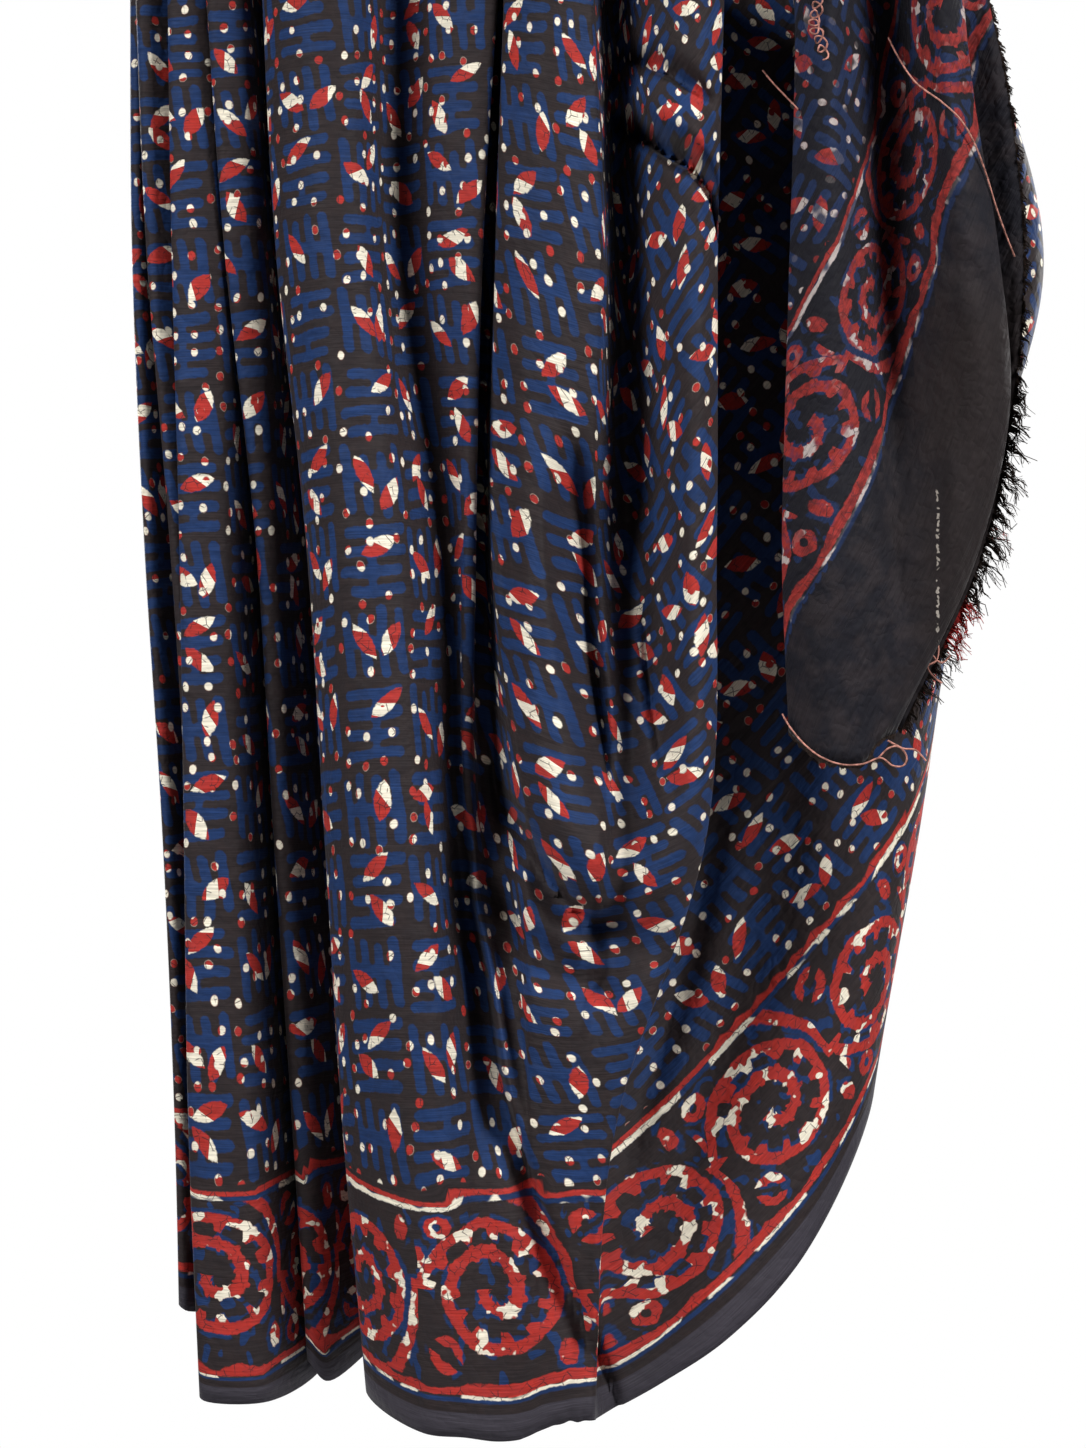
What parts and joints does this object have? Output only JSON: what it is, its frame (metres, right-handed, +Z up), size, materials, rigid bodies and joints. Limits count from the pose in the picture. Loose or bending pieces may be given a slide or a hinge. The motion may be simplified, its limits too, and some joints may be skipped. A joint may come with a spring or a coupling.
{
  "type": "dabu-printed fabric",
  "caption": "Length of mud-resist printed light cloth hanging from its top edge in knife pleats and a swag, with a loose frayed end.",
  "frame": {"origin": "level with the top edge from which the cloth hangs, at the middle of its front", "axes": "+Z up towards the edge that holds it, +X to the right seen from the front, -Y out of the printed face"},
  "size_m": [0.6124, 0.2585, 0.9952],
  "materials": {
    "printed_cloth": "soft satin printed cloth, charcoal reverse",
    "frayed_threads": "matt loose threads"
  },
  "bodies": {
    "root": {"cloth": "printed_cloth", "frayed_edge": "frayed_threads"}
  },
  "joints": []
}
